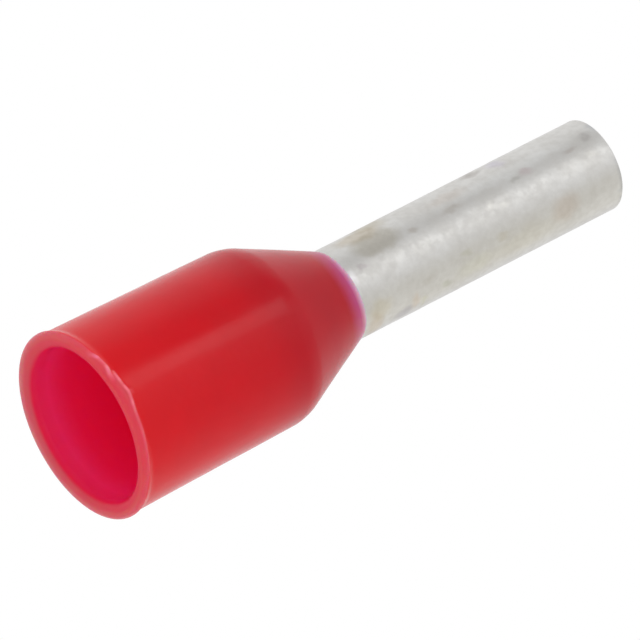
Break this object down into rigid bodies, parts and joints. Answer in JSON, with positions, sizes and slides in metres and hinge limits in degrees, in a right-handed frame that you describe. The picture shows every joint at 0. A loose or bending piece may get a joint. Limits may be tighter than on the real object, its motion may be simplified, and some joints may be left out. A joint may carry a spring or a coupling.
{
  "type": "wire ferrule",
  "caption": "Insulated wire ferrule: a thin tin-plated tube whose bell seats inside a red moulded collar with a tapered neck.",
  "frame": {"origin": "centre of the collar's mouth, in the plane of its flat ring", "axes": "+Z along the common axis, from the collar's mouth to the tip of the tube; X and Y are equal by symmetry"},
  "size_m": [0.0036, 0.0036, 0.012],
  "materials": {
    "collar_plastic": "smooth satin red moulded polypropylene, slightly translucent where it is thin",
    "tube_tin": "matte electroplated tin over copper, faintly mottled, with drawing lines along the tube"
  },
  "bodies": {
    "root": {"insulating_collar": "collar_plastic", "tinned_tube": "tube_tin"}
  },
  "joints": []
}
